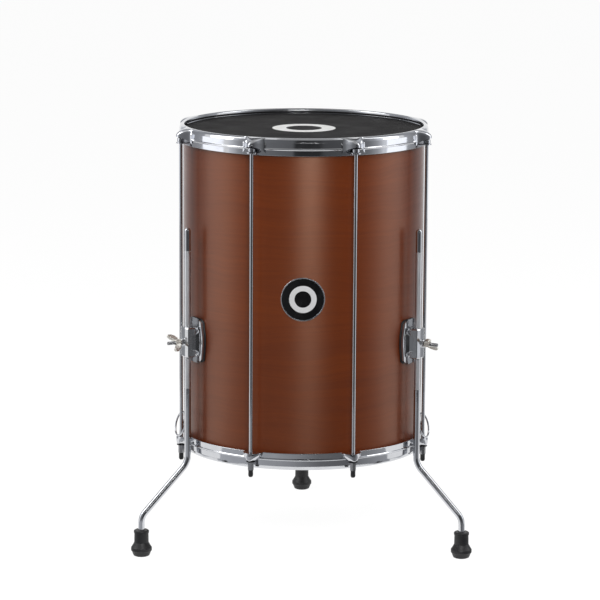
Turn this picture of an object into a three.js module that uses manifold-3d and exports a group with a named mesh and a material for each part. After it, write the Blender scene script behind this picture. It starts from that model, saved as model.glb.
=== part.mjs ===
// A surdo that stands on three legs: a wooden shell between two steel hoops, drawn together by eight rods.
// Millimetres, +Z up. The feet stand on z = 0, the badge faces -Y and the third leg is at the back, at +Y.

import * as THREE from 'three';
import { ConvexGeometry } from 'three/addons/geometries/ConvexGeometry.js';
import { mergeVertices } from 'three/addons/utils/BufferGeometryUtils.js';
import Module from 'manifold-3d';

const wasm = await Module();
wasm.setup();

// Clearances and cutting
const seatGap = 0.3;
const boreGap = 0.4;
const cutOverrun = 2;
const weldDistance = 0.001;

// Counts
const ringSteps = 60;
const rodCount = 8;
const legCount = 3;
const strapRodNumbers = [1, rodCount - 2];

// Shell
const shellRadius = 203.2;
const shellWall = 7.5;
const shellLength = 533.4;
const shellRise = 171.6;
const bearingFlat = 2.5;
const bearingSlope = 5;

// Heads and the flesh hoops that hold their skin
const skinThickness = 0.8;
const skinSkirt = 13;
const fleshWidth = 4.4;
const fleshHeight = 8;
const fleshDrop = 7;

// Hoops
const hoopSheet = 1.8;
const hoopRise = 10;
const hoopSkirt = 19;
const hoopLean = 4.9;
const ledgeDepth = 3.1;
const beadProud = 1.1;
const beadHeight = 2.8;

// Ears on the hoops
const rodStandoff = 10.4;
const topEarWidth = 35;
const topEarReach = 8.2;
const topEarCrown = 19;
const topEarBelly = 7;
const earWindowWidth = 25;
const earWindowHeight = 11;
const windowSpringShare = 0.3;
const lowEarWidth = 31;
const lowEarReach = 7.6;
const lowEarHeight = 13.4;
const lowEarSeatRadius = 8.4;

// Tension rods with their nuts and caps
const rodRadius = 3;
const rodHeadRadius = 6;
const rodHeadHeight = 8.6;
const nutAcross = 9.2;
const nutLength = 13.6;
const washerRadius = 7.6;
const washerThickness = 1.5;
const capRadius = 4.1;
const capLength = 12;
const capFloor = 2.4;

// Badge
const badgeRadius = 36.4;
const badgeThickness = 1.6;
const badgeHeight = 277.4;

// Leg brackets and their gaskets and screws
const bracketHeight = 187.4;
const gasketThickness = 2;
const gasketBorder = 2;
const plateWidth = 52;
const plateTall = 78;
const plateCorner = 10;
const plateEdge = 3;
const plateBevel = 3;
const blockWidth = 36;
const blockTall = 61;
const blockCorner = 5;
const neckWidth = 19;
const sleeveRadius = 11.2;
const sleeveTall = 50;
const legStandoff = 17;
const bossRadius = 6.6;
const bossReach = 2.4;
const screwRadius = 2.5;
const screwHeadRadius = 5.2;
const screwHeadHeight = 3.2;
const screwBite = 7;
const screwSpread = 23;

// Eye bolts and wing nuts that clamp the legs
const eyeWall = 2.6;
const eyeTall = 6;
const eyeSlack = 0.9;
const clampTravel = 0.7;
const studRadius = 3;
const studLength = 28;
const hubRadius = 5.6;
const hubLength = 10;
const hubTaperShare = 0.8;
const wingSpan = 38;
const wingReach = 21;
const wingThickness = 3.2;
const wingTurn = 55;

// Legs and feet
const legRadius = 5.25;
const legTop = 552;
const legBesideRod = 29.125;
const legBendHeight = 151;
const legSplay = 88;
const ankleHeight = 67;
const upperBendRadius = 30;
const lowerBendRadius = 24;
const footHeight = 45;
const footRadius = 17.6;
const footNeckRadius = 12.2;
const footSocket = 33;

// Strap rings
const strapRingRadius = 20.5;
const strapWireRadius = 1.5;

// Materials, with colours read from the photograph
const stainedWood = new THREE.MeshStandardMaterial({ color: 0x7d4a30, roughness: 0.35, metalness: 0 });
const blackSkin = new THREE.MeshStandardMaterial({ color: 0x2d2c2e, roughness: 0.7, metalness: 0 });
const clearSkin = new THREE.MeshStandardMaterial({ color: 0xd9d8d2, roughness: 0.5, metalness: 0 });
const chrome = new THREE.MeshStandardMaterial({ color: 0xc8cacd, roughness: 0.12, metalness: 1 });
const dullSteel = new THREE.MeshStandardMaterial({ color: 0x9a9b9c, roughness: 0.4, metalness: 1 });
const blackRubber = new THREE.MeshStandardMaterial({ color: 0x17171a, roughness: 0.75, metalness: 0 });
const badgeEnamel = new THREE.MeshStandardMaterial({ color: 0x101012, roughness: 0.25, metalness: 0.2 });

// Places that follow from the sizes
const shellTop = shellRise + shellLength;
const skinInner = shellRadius + seatGap;
const skinOuter = skinInner + skinThickness;
const fleshInner = skinOuter + seatGap;
const fleshOuter = fleshInner + fleshWidth;
const skirtInner = fleshOuter + seatGap;
const skirtOuter = skirtInner + hoopSheet;
const ledgeHeight = seatGap - fleshDrop;
const rodCircle = skirtOuter + rodStandoff;
const lowEarTop = shellRise + hoopSkirt;
const lowEarFloor = lowEarTop - lowEarHeight;
const topEarMiddle = shellTop + hoopRise - topEarCrown - seatGap;
const rodSeat = topEarMiddle - topEarBelly / 2;
const gasketInner = shellRadius + seatGap;
const gasketOuter = gasketInner + gasketThickness;
const plateBack = gasketOuter + seatGap;
const plateFace = plateBack + plateEdge + plateBevel / 2;
const legCircle = gasketOuter + legStandoff;
const bracketMiddle = shellRise + bracketHeight;
const eyeInner = legRadius + eyeSlack;
const eyeOuter = eyeInner + eyeWall;
const eyeCircle = legCircle + eyeSlack - seatGap;
const bossFace = legCircle + sleeveRadius + bossReach;
const footCircle = legCircle + legSplay;

function turnOf(degrees) {
  return THREE.MathUtils.degToRad(degrees);
}

function rodAngle(number) {
  return (number + 1 / 2) * 2 * Math.PI / rodCount;
}

// The rear leg stands at half a turn, and each side leg a set distance in front of its side's second rod
function legAngle(number) {
  const side = rodAngle(1) - legBesideRod / legCircle;
  return [Math.PI, -side, side][number];
}

// A closed solid turned round Z from outline points of radius and height, in either order
function turned(outline, steps) {
  const points = outline.map(([radius, height]) => new THREE.Vector2(radius, height));
  if (THREE.ShapeUtils.area(points) < 0) {
    points.reverse();
  }
  points.push(points[0].clone());
  const geometry = new THREE.LatheGeometry(points, steps);
  geometry.rotateX(Math.PI / 2);
  return geometry;
}

// An upright round bar between two heights
function upright(radius, low, high, sides) {
  const geometry = new THREE.CylinderGeometry(radius, radius, high - low, sides);
  geometry.rotateX(Math.PI / 2);
  geometry.translate(0, 0, (low + high) / 2);
  return geometry;
}

// A round bar along -Y, the outward direction of every bracket and ear, between two distances from the axis
function outward(radius, near, far, height, sides) {
  const geometry = new THREE.CylinderGeometry(radius, radius, far - near, sides);
  geometry.translate(0, -(near + far) / 2, height);
  return geometry;
}

// Triangles that a merge has squeezed flat are dropped, so that a pole or an axis point stays closed
function solidOf(geometry) {
  const bare = new THREE.BufferGeometry();
  bare.setAttribute('position', geometry.getAttribute('position').clone());
  if (geometry.index) {
    bare.setIndex(geometry.index.clone());
  }
  const merged = mergeVertices(bare, weldDistance);
  const corners = merged.index.array;
  const kept = [];
  for (let i = 0; i < corners.length; i += 3) {
    const [a, b, c] = [corners[i], corners[i + 1], corners[i + 2]];
    if (a !== b && b !== c && c !== a) {
      kept.push(a, b, c);
    }
  }
  const vertProperties = new Float32Array(merged.getAttribute('position').array);
  const mesh = new wasm.Mesh({ numProp: 3, vertProperties, triVerts: new Uint32Array(kept) });
  return new wasm.Manifold(mesh);
}

function geometryOf(solid) {
  const mesh = solid.getMesh();
  const geometry = new THREE.BufferGeometry();
  geometry.setAttribute('position', new THREE.BufferAttribute(new Float32Array(mesh.vertProperties), 3));
  geometry.setIndex(new THREE.BufferAttribute(new Uint32Array(mesh.triVerts), 1));
  geometry.computeVertexNormals();
  return geometry;
}

// The first geometry with the others joined on
function joined(first, ...others) {
  return others.reduce((whole, next) => whole.add(solidOf(next)), solidOf(first));
}

// The solid with each of the geometries cut away
function cutBy(solid, ...tools) {
  return tools.reduce((whole, tool) => whole.subtract(solidOf(tool)), solid);
}

function shellGeometry() {
  const inner = shellRadius - shellWall;
  const flat = shellRadius - bearingFlat;
  const wall = turned([
    [shellRadius, shellRise],
    [shellRadius, shellTop],
    [flat, shellTop],
    [inner, shellTop - bearingSlope],
    [inner, shellRise + bearingSlope],
    [flat, shellRise],
  ], ringSteps);
  const holes = [];
  for (let number = 0; number < legCount; number += 1) {
    for (const side of [-1, 1]) {
      const height = bracketMiddle + side * screwSpread;
      const hole = outward(screwRadius + boreGap, inner - cutOverrun, shellRadius + cutOverrun, height, 12);
      hole.rotateZ(legAngle(number));
      holes.push(hole);
    }
  }
  return geometryOf(cutBy(solidOf(wall), ...holes));
}

// The skin lies over the shell's edge and its skirt runs down inside the flesh hoop
function headGeometry(edge, side) {
  const face = edge + side * seatGap;
  const outside = face + side * skinThickness;
  const skirtEnd = edge - side * skinSkirt;
  return turned([
    [0, face],
    [skinInner, face],
    [skinInner, skirtEnd],
    [skinOuter, skirtEnd],
    [skinOuter, outside],
    [0, outside],
  ], ringSteps);
}

function fleshHoopGeometry(edge, side) {
  const near = edge - side * fleshDrop;
  const far = near - side * fleshHeight;
  return turned([
    [fleshInner, near],
    [fleshOuter, near],
    [fleshOuter, far],
    [fleshInner, far],
  ], ringSteps);
}

// The hoop's skirt goes round the flesh hoop, its ledge bears on it and its upper band leans in to the rim
function hoopOutline(edge, side) {
  const beadMiddle = ledgeHeight - beadHeight / 2;
  const leanShares = [0.1, 0.45, 1];
  const riseShares = [0.25, 0.8, 1];
  const outer = leanShares.map((share, i) => [skirtOuter - share * hoopLean, riseShares[i] * hoopRise]);
  const inner = leanShares.map((share, i) => {
    return [skirtOuter - hoopSheet - share * hoopLean, riseShares[i] * hoopRise - share * hoopSheet / 2];
  });
  const outline = [
    [skirtInner, -hoopSkirt],
    [skirtOuter, -hoopSkirt],
    [skirtOuter, beadMiddle - beadHeight / 2],
    [skirtOuter + beadProud, beadMiddle],
    [skirtOuter, beadMiddle + beadHeight / 2],
    ...outer,
    ...inner.reverse(),
    [skirtInner - ledgeDepth, ledgeHeight + hoopSheet],
    [skirtInner - ledgeDepth, ledgeHeight],
    [skirtInner, ledgeHeight],
  ];
  return outline.map(([radius, height]) => [radius, edge + side * height]);
}

// All that lies inside the middle of the hoop's wall, which an ear must not reach
function hoopCore(edge, side) {
  const wall = hoopSheet / 2;
  const low = ledgeHeight - hoopRise;
  const outline = [
    [0, low],
    [skirtInner + wall, low],
    [skirtInner + wall, 0],
    [skirtOuter - wall - hoopLean, hoopRise + cutOverrun],
    [0, hoopRise + cutOverrun],
  ];
  return turned(outline.map(([radius, height]) => [radius, edge + side * height]), ringSteps);
}

// A pod with a tall crown and a shallow belly, from a unit ball
function pod(halfWidth, reach, crown, belly, steps) {
  const ball = new THREE.SphereGeometry(1, steps, steps / 2);
  ball.rotateX(Math.PI / 2);
  const places = ball.getAttribute('position');
  for (let i = 0; i < places.count; i += 1) {
    const height = places.getZ(i) > 0 ? crown : belly;
    places.setXYZ(i, places.getX(i) * halfWidth, places.getY(i) * reach, places.getZ(i) * height);
  }
  ball.translate(0, -skirtInner, topEarMiddle);
  return ball;
}

// The arched window in the front of an upper ear, where the head of the rod shows
function earWindow() {
  const arch = new THREE.Shape();
  const half = earWindowWidth / 2;
  const spring = earWindowHeight * windowSpringShare;
  arch.moveTo(-half, 0);
  arch.lineTo(half, 0);
  arch.lineTo(half, spring);
  arch.absellipse(0, spring, half, earWindowHeight - spring, 0, Math.PI, false, 0);
  const depth = topEarReach + 2 * rodHeadRadius;
  const window = new THREE.ExtrudeGeometry(arch, { depth: depth + cutOverrun, bevelEnabled: false, curveSegments: 3 });
  window.rotateX(Math.PI / 2);
  window.translate(0, rodHeadRadius - rodCircle, rodSeat);
  return window;
}

// An upper ear is pressed sheet: a hollow pod whose floor carries the head of the rod
function topEar() {
  const reach = rodStandoff + hoopSheet + topEarReach;
  const outside = pod(topEarWidth / 2, reach, topEarCrown, topEarBelly, 10);
  const inside = pod(
    topEarWidth / 2 - hoopSheet, reach - hoopSheet, topEarCrown - hoopSheet, topEarBelly - hoopSheet, 8);
  const seat = upright(rodHeadRadius + boreGap, rodSeat, rodSeat + rodHeadHeight + boreGap, 8);
  const hole = upright(rodRadius + boreGap, topEarMiddle - topEarBelly - cutOverrun, topEarMiddle, 8);
  seat.translate(0, -rodCircle, 0);
  hole.translate(0, -rodCircle, 0);
  return cutBy(solidOf(outside), inside, seat, hole, earWindow(), hoopCore(shellTop, 1));
}

// Points on a half ring that bulges outward, as wide and as deep as given, from the hoop's wall
function bulge(halfWidth, root, reach, height, steps) {
  const points = [];
  for (let i = 0; i <= steps; i += 1) {
    const turn = Math.PI * i / steps;
    points.push(new THREE.Vector3(halfWidth * Math.cos(turn), -root - reach * Math.sin(turn), height));
  }
  return points;
}

// A lower ear is a cup, open at the top, that narrows to the flat seat of the nut
function lowEar() {
  const root = skirtInner + hoopSheet / 2;
  const reach = rodCircle + lowEarReach - root;
  const seatReach = rodCircle + lowEarSeatRadius - root;
  const outside = new ConvexGeometry([
    ...bulge(lowEarWidth / 2, root, reach, lowEarTop, 8),
    ...bulge(lowEarSeatRadius, root, seatReach, lowEarFloor, 6),
  ]);
  const inside = new ConvexGeometry([
    ...bulge(lowEarWidth / 2 - hoopSheet, root - hoopSheet, reach, lowEarTop + cutOverrun, 8),
    ...bulge(lowEarSeatRadius - hoopSheet, root - hoopSheet, seatReach, lowEarFloor + hoopSheet, 6),
  ]);
  const hole = upright(rodRadius + boreGap, lowEarFloor - cutOverrun, lowEarTop, 8);
  hole.translate(0, -rodCircle, 0);
  return cutBy(solidOf(outside), inside, hole, hoopCore(shellRise, -1));
}

function hoopGeometry(edge, side, ear) {
  const earGeometry = geometryOf(ear);
  const ears = [];
  for (let number = 0; number < rodCount; number += 1) {
    ears.push(earGeometry.clone().rotateZ(rodAngle(number)));
  }
  return geometryOf(joined(turned(hoopOutline(edge, side), ringSteps), ...ears));
}

const nutTop = lowEarFloor - seatGap;
const nutBottom = nutTop - washerThickness - nutLength;
const capTop = nutBottom - seatGap;
const capBottom = capTop - capLength;
const rodEnd = capBottom + capFloor + seatGap;

function rodGeometry() {
  const headBottom = rodSeat + seatGap;
  const crownShares = [[1, 0], [1, 0.45], [0.72, 0.82], [0, 1]];
  const head = crownShares.map(([wide, high]) => [wide * rodHeadRadius, headBottom + high * rodHeadHeight]);
  const geometry = turned([[0, rodEnd], [rodRadius, rodEnd], [rodRadius, headBottom], ...head], 8);
  geometry.translate(0, -rodCircle, 0);
  return geometry;
}

// The washer under the nut is drawn with it as one flange
function nutGeometry() {
  const corner = nutAcross / Math.sqrt(3);
  const hexagon = upright(corner, nutBottom, nutTop - washerThickness / 2, 6);
  const washer = upright(washerRadius, nutTop - washerThickness, nutTop, 12);
  const bore = upright(rodRadius + boreGap, nutBottom - cutOverrun, nutTop + cutOverrun, 8);
  const geometry = geometryOf(cutBy(joined(hexagon, washer), bore));
  geometry.translate(0, -rodCircle, 0);
  return geometry;
}

function capGeometry() {
  const bore = rodRadius + seatGap;
  const endShares = [0.67, 0.5];
  const geometry = turned([
    [0, capBottom],
    [capRadius * endShares[0], capBottom],
    [capRadius, capBottom + capRadius * endShares[1]],
    [capRadius, capTop],
    [bore, capTop],
    [bore, capBottom + capFloor],
    [0, capBottom + capFloor],
  ], 8);
  geometry.translate(0, -rodCircle, 0);
  return geometry;
}

// An upright outline with cut corners, at a distance from the axis, centred on a height
function cutCornerOutline(width, tall, corner, distance) {
  const [x, z] = [width / 2, tall / 2];
  const corners = [
    [x, z - corner], [x - corner, z], [corner - x, z], [-x, z - corner],
    [-x, corner - z], [corner - x, -z], [x - corner, -z], [x, corner - z],
  ];
  return corners.map(([across, up]) => new THREE.Vector3(across, -distance, bracketMiddle + up));
}

// A ring round the axis between two radii, as tall as the bracket plate and more
function bandRound(inner, outer, tall) {
  const [low, high] = [bracketMiddle - tall, bracketMiddle + tall];
  return turned([[inner, low], [outer, low], [outer, high], [inner, high]], ringSteps);
}

function badgeGeometry() {
  const inner = shellRadius + seatGap;
  const disc = outward(badgeRadius, inner - shellWall, inner + shellWall, shellRise + badgeHeight, 36);
  const low = shellRise + badgeHeight - badgeRadius - cutOverrun;
  const high = shellRise + badgeHeight + badgeRadius + cutOverrun;
  const outer = inner + badgeThickness;
  const band = turned([[inner, low], [outer, low], [outer, high], [inner, high]], ringSteps);
  return geometryOf(solidOf(disc).intersect(solidOf(band)));
}

function screwHoles() {
  const ends = [plateBack - plateEdge - shellWall, plateBack + screwBite + seatGap];
  const holes = [-1, 1].map((side) => {
    return outward(screwRadius + boreGap, ...ends, bracketMiddle + side * screwSpread, 12);
  });
  return holes;
}

function gasketGeometry() {
  const [width, tall] = [plateWidth + 2 * gasketBorder, plateTall + 2 * gasketBorder];
  const block = new ConvexGeometry([
    ...cutCornerOutline(width, tall, plateCorner, gasketInner - plateEdge - gasketThickness),
    ...cutCornerOutline(width, tall, plateCorner, gasketOuter + gasketThickness),
  ]);
  const band = solidOf(bandRound(gasketInner, gasketOuter, plateTall));
  return geometryOf(cutBy(solidOf(block).intersect(band), ...screwHoles()));
}

// A cast bracket: a bevelled plate, a block that narrows outward and a sleeve with a boss for the wing nut
function bracketGeometry() {
  const plate = new ConvexGeometry([
    ...cutCornerOutline(plateWidth, plateTall, plateCorner, plateBack - plateEdge - cutOverrun),
    ...cutCornerOutline(plateWidth, plateTall, plateCorner, plateFace - plateBevel / 2),
    ...cutCornerOutline(plateWidth - 2 * plateBevel, plateTall - 2 * plateBevel, plateCorner, plateFace),
  ]);
  const block = new ConvexGeometry([
    ...cutCornerOutline(blockWidth, blockTall, blockCorner, plateFace - plateBevel / 2),
    ...cutCornerOutline(neckWidth, sleeveTall, blockCorner / 2, legCircle),
  ]);
  const [low, high] = [bracketMiddle - sleeveTall / 2, bracketMiddle + sleeveTall / 2];
  const sleeve = upright(sleeveRadius, low, high, 20);
  const boreHalf = blockTall / 2 + cutOverrun;
  const legBore = upright(legRadius + boreGap, bracketMiddle - boreHalf, bracketMiddle + boreHalf, 16);
  const eyeHalf = eyeTall / 2 + boreGap;
  const eyeRoom = upright(eyeOuter + boreGap, bracketMiddle - eyeHalf, bracketMiddle + eyeHalf, 16);
  const slideRoom = eyeRoom.clone();
  sleeve.translate(0, -legCircle, 0);
  legBore.translate(0, -legCircle, 0);
  eyeRoom.translate(0, -eyeCircle, 0);
  slideRoom.translate(0, clampTravel - eyeCircle, 0);
  const boss = outward(bossRadius, legCircle + legRadius + cutOverrun, bossFace, bracketMiddle, 16);
  const studBore = outward(studRadius + boreGap, legCircle, bossFace + cutOverrun, bracketMiddle, 12);
  const behind = bandRound(shellRadius - shellWall, plateBack, plateTall);
  const body = joined(plate, block, sleeve, boss);
  return geometryOf(cutBy(body, behind, legBore, eyeRoom, slideRoom, studBore, ...screwHoles()));
}

function screwGeometry(side) {
  const headFace = shellRadius - shellWall - seatGap;
  const tip = plateBack + screwBite;
  const geometry = turned([
    [0, -tip],
    [screwRadius, -tip],
    [screwRadius, -headFace],
    [screwHeadRadius, -headFace],
    [screwHeadRadius, screwHeadHeight / 2 - headFace],
    [screwHeadRadius / 2, screwHeadHeight - headFace],
    [0, screwHeadHeight - headFace],
  ], 10);
  geometry.rotateX(-Math.PI / 2);
  geometry.translate(0, 0, bracketMiddle + side * screwSpread);
  return geometry;
}

// The eye goes round the leg inside the sleeve and its stud comes out through the boss
function eyeBoltGeometry() {
  const [low, high] = [bracketMiddle - eyeTall / 2, bracketMiddle + eyeTall / 2];
  const eye = upright(eyeOuter, low, high, 16);
  const bore = upright(eyeInner, low - cutOverrun, high + cutOverrun, 16);
  const stud = outward(studRadius, eyeInner + eyeWall / 2, eyeOuter + studLength, bracketMiddle, 10);
  const bolt = cutBy(joined(eye, stud), bore);
  return geometryOf(bolt).translate(0, -eyeCircle, 0);
}

function wingNutGeometry() {
  const foot = bossFace + seatGap;
  const hub = new THREE.CylinderGeometry(hubRadius, hubRadius * hubTaperShare, hubLength, 14);
  hub.translate(0, -foot - hubLength / 2, 0);
  const acrossShares = [0.1, 0.5, 0.85, 1, 0.97, 0.78, 0.55, 0.3, 0.1];
  const alongShares = [0.05, 0.12, 0.4, 0.72, 0.94, 1, 0.72, 0.5, 0.45];
  const wings = [-1, 1].map((side) => {
    const shape = new THREE.Shape(acrossShares.map((share, i) => {
      return new THREE.Vector2(side * share * wingSpan / 2, -alongShares[i] * wingReach);
    }));
    const wing = new THREE.ExtrudeGeometry(shape, { depth: wingThickness, bevelEnabled: false });
    wing.translate(0, -foot, -wingThickness / 2);
    return wing;
  });
  const bore = outward(studRadius + seatGap, foot - cutOverrun, foot + hubLength + wingReach, 0, 12);
  const nut = geometryOf(cutBy(joined(hub, ...wings), bore));
  nut.rotateY(turnOf(wingTurn));
  nut.translate(0, 0, bracketMiddle);
  return nut;
}

// A path of straight runs and round bends, sampled at its own stations, which crowd only in the bends
class BentPath extends THREE.Curve {
  constructor(stations) {
    super();
    this.stations = stations;
  }

  getUtoTmapping(share) {
    return share;
  }

  getPoint(share) {
    const place = share * (this.stations.length - 1);
    const before = Math.min(Math.floor(place), this.stations.length - 2);
    return this.stations[before].at.clone().lerp(this.stations[before + 1].at, place - before);
  }

  getTangent(share) {
    const nearest = Math.round(share * (this.stations.length - 1));
    return this.stations[nearest].along.clone();
  }
}

// Stations round a corner, from the corner's place, its directions in and out and its radius
function cornerStations(corner, into, out, radius, steps) {
  const turn = into.angleTo(out);
  const start = corner.clone().addScaledVector(into, -radius * Math.tan(turn / 2));
  const inward = out.clone().addScaledVector(into, -out.dot(into)).normalize();
  const stations = [];
  for (let i = 0; i <= steps; i += 1) {
    const angle = turn * i / steps;
    const at = start.clone().addScaledVector(into, radius * Math.sin(angle));
    at.addScaledVector(inward, radius * (1 - Math.cos(angle)));
    const along = into.clone().multiplyScalar(Math.cos(angle)).addScaledVector(inward, Math.sin(angle));
    stations.push({ at, along });
  }
  return stations;
}

function legGeometry() {
  const down = new THREE.Vector3(0, 0, -1);
  const knee = new THREE.Vector3(0, -legCircle, legBendHeight);
  const ankle = new THREE.Vector3(0, -footCircle, ankleHeight);
  const splay = ankle.clone().sub(knee).normalize();
  const tipBase = legTop - legRadius;
  const end = footHeight - footSocket + seatGap;
  const path = new BentPath([
    { at: new THREE.Vector3(0, -legCircle, tipBase), along: down },
    ...cornerStations(knee, down, splay, upperBendRadius, 6),
    ...cornerStations(ankle, splay, down, lowerBendRadius, 6),
    { at: new THREE.Vector3(0, -footCircle, end), along: down },
  ]);
  const section = new THREE.Shape().absarc(0, 0, legRadius, 0, 2 * Math.PI, false);
  const steps = path.stations.length - 1;
  const tube = new THREE.ExtrudeGeometry(section, { steps, curveSegments: 6, extrudePath: path });
  const tip = new THREE.SphereGeometry(legRadius, 12, 6);
  tip.rotateX(Math.PI / 2);
  tip.translate(0, -legCircle, tipBase);
  return geometryOf(joined(tube, tip));
}

// The foot is a rubber boot: a straight neck, a flare to its widest ring and a taper to the floor
function footGeometry() {
  const socket = legRadius + seatGap;
  const soleShares = [[0.62, 0], [0.75, 0.04], [1, 0.26], [0.98, 0.33]];
  const neckShares = [[1.08, 0.5], [1, 0.56], [1, 0.97], [0.94, 1]];
  const geometry = turned([
    [0, 0],
    ...soleShares.map(([wide, high]) => [wide * footRadius, high * footHeight]),
    ...neckShares.map(([wide, high]) => [wide * footNeckRadius, high * footHeight]),
    [socket, footHeight],
    [socket, footHeight - footSocket],
    [0, footHeight - footSocket],
  ], 14);
  geometry.translate(0, -footCircle, 0);
  return geometry;
}

// The ring goes round its rod, stands on the outer rim of the lower ear and leans on the rod
function strapRingGeometry() {
  const foot = rodCircle + lowEarReach - hoopSheet / 2;
  const top = rodCircle - rodRadius - seatGap - strapWireRadius;
  const lean = Math.asin((foot - top) / (2 * strapRingRadius));
  const geometry = new THREE.TorusGeometry(strapRingRadius, strapWireRadius, 6, 18);
  geometry.rotateX(Math.PI / 2);
  geometry.translate(0, 0, strapRingRadius);
  geometry.rotateX(-lean);
  geometry.translate(0, -foot, lowEarTop + seatGap + strapWireRadius);
  return geometry;
}

const drum = new THREE.Group();

function addPiece(name, geometry, material, angle = 0) {
  const mesh = new THREE.Mesh(geometry, material);
  mesh.name = name;
  const spoke = new THREE.Group();
  spoke.rotation.z = angle;
  spoke.add(mesh);
  drum.add(spoke);
}

addPiece('shell', shellGeometry(), stainedWood);
addPiece('badge', badgeGeometry(), badgeEnamel);
addPiece('batter_head', headGeometry(shellTop, 1), blackSkin);
addPiece('batter_flesh_hoop', fleshHoopGeometry(shellTop, 1), dullSteel);
addPiece('top_hoop', hoopGeometry(shellTop, 1, topEar()), chrome);
addPiece('resonant_head', headGeometry(shellRise, -1), clearSkin);
addPiece('resonant_flesh_hoop', fleshHoopGeometry(shellRise, -1), dullSteel);
addPiece('bottom_hoop', hoopGeometry(shellRise, -1, lowEar()), chrome);

const rod = rodGeometry();
const nut = nutGeometry();
const cap = capGeometry();
for (let number = 0; number < rodCount; number += 1) {
  addPiece(`tension_rod_${number + 1}`, rod, chrome, rodAngle(number));
  addPiece(`tension_nut_${number + 1}`, nut, dullSteel, rodAngle(number));
  addPiece(`rod_cap_${number + 1}`, cap, blackRubber, rodAngle(number));
}

const gasket = gasketGeometry();
const bracket = bracketGeometry();
const upperScrew = screwGeometry(1);
const lowerScrew = screwGeometry(-1);
const eyeBolt = eyeBoltGeometry();
const wingNut = wingNutGeometry();
const leg = legGeometry();
const foot = footGeometry();
['rear', 'left', 'right'].forEach((place, number) => {
  const angle = legAngle(number);
  addPiece(`bracket_gasket_${place}`, gasket, blackRubber, angle);
  addPiece(`leg_bracket_${place}`, bracket, chrome, angle);
  addPiece(`bracket_screw_${place}_upper`, upperScrew, dullSteel, angle);
  addPiece(`bracket_screw_${place}_lower`, lowerScrew, dullSteel, angle);
  addPiece(`eye_bolt_${place}`, eyeBolt, dullSteel, angle);
  addPiece(`wing_nut_${place}`, wingNut, chrome, angle);
  addPiece(`leg_${place}`, leg, chrome, angle);
  addPiece(`foot_${place}`, foot, blackRubber, angle);
});

const strapRing = strapRingGeometry();
['right', 'left'].forEach((place, number) => {
  addPiece(`strap_ring_${place}`, strapRing, chrome, rodAngle(strapRodNumbers[number]));
});

// The middle of the space that the drum takes up stands over the origin
const space = new THREE.Box3().setFromObject(drum, true);
drum.position.y = -(space.min.y + space.max.y) / 2;

export default drum;
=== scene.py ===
from math import asin, atan2, copysign, cos, exp, hypot, pi, radians, sin, sqrt, tan

import bmesh
import bpy
from mathutils import Matrix, Vector


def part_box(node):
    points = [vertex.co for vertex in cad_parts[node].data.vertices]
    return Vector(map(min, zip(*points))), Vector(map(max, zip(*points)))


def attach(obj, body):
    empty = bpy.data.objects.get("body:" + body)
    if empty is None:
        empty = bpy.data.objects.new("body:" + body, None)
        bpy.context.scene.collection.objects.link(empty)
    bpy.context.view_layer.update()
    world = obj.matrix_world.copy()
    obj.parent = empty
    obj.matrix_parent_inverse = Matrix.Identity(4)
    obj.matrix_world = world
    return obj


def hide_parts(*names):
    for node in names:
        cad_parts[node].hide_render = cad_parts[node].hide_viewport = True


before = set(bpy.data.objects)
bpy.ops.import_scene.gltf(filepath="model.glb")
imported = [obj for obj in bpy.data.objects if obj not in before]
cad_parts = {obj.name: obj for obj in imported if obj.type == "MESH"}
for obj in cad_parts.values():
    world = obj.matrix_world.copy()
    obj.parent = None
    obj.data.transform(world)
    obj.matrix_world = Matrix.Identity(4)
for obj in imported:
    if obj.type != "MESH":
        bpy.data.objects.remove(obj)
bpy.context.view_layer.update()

# ------------
# The room. A pale floor runs out to white. Tall soft boxes stand left and right of the drum, one hangs over it
# and a small lamp is near the lens. Glowing sheets that only gloss sees paint reflections: grey ones paint the
# chrome's dark front, and glowing white cards paint its bright sides.
shell_low, shell_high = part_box("shell")
drum_axis = Vector((0, (shell_low.y + shell_high.y) / 2, 0))


def add_object(name, data):
    """An object in the scene from its data"""
    obj = bpy.data.objects.new(name, data)
    bpy.context.scene.collection.objects.link(obj)
    return obj


def mesh_object(name, part, *materials, sharp=35):
    """An object from a part's points and faces, smooth where faces meet at less than the sharp angle"""
    points, faces = part
    mesh = bpy.data.meshes.new(name)
    mesh.from_pydata([tuple(point) for point in points], [], faces)
    shape = bmesh.new()
    shape.from_mesh(mesh)
    bmesh.ops.recalc_face_normals(shape, faces=shape.faces)
    shape.to_mesh(mesh)
    shape.free()
    mesh.polygons.foreach_set("use_smooth", [True] * len(mesh.polygons))
    mesh.set_sharp_from_angle(angle=radians(sharp))
    for material in materials:
        mesh.materials.append(material)
    return add_object(name, mesh)


def polar(radius, turn, height):
    """A point at a radius from the axis, turned from the front in radians"""
    return Vector((radius * sin(turn), -radius * cos(turn), height))


def new_material(name):
    """A bare material, its node tree and its Principled shader"""
    material = bpy.data.materials.new(name)
    material.use_nodes = True
    tree = material.node_tree
    return material, tree, tree.nodes["Principled BSDF"]


def fill(node, inputs):
    """Gives each named input of a node its value, or a link from a socket"""
    for key, value in inputs.items():
        if isinstance(value, bpy.types.NodeSocket):
            node.id_data.links.new(value, node.inputs[key])
        else:
            node.inputs[key].default_value = value


def add_node(tree, kind, inputs=None, **settings):
    """A node with its settings made and its inputs filled"""
    node = tree.nodes.new("ShaderNode" + kind)
    for key, value in settings.items():
        setattr(node, key, value)
    fill(node, inputs or {})
    return node


def calc(operation, first, second):
    """The output of a Math node, in the tree of its first value"""
    return add_node(first.id_data, "Math", {0: first, 1: second}, operation=operation).outputs[0]


def times(first, second):
    """The product of two values"""
    return calc("MULTIPLY", first, second)


def plus(first, second):
    """The sum of two values"""
    return calc("ADD", first, second)


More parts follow.
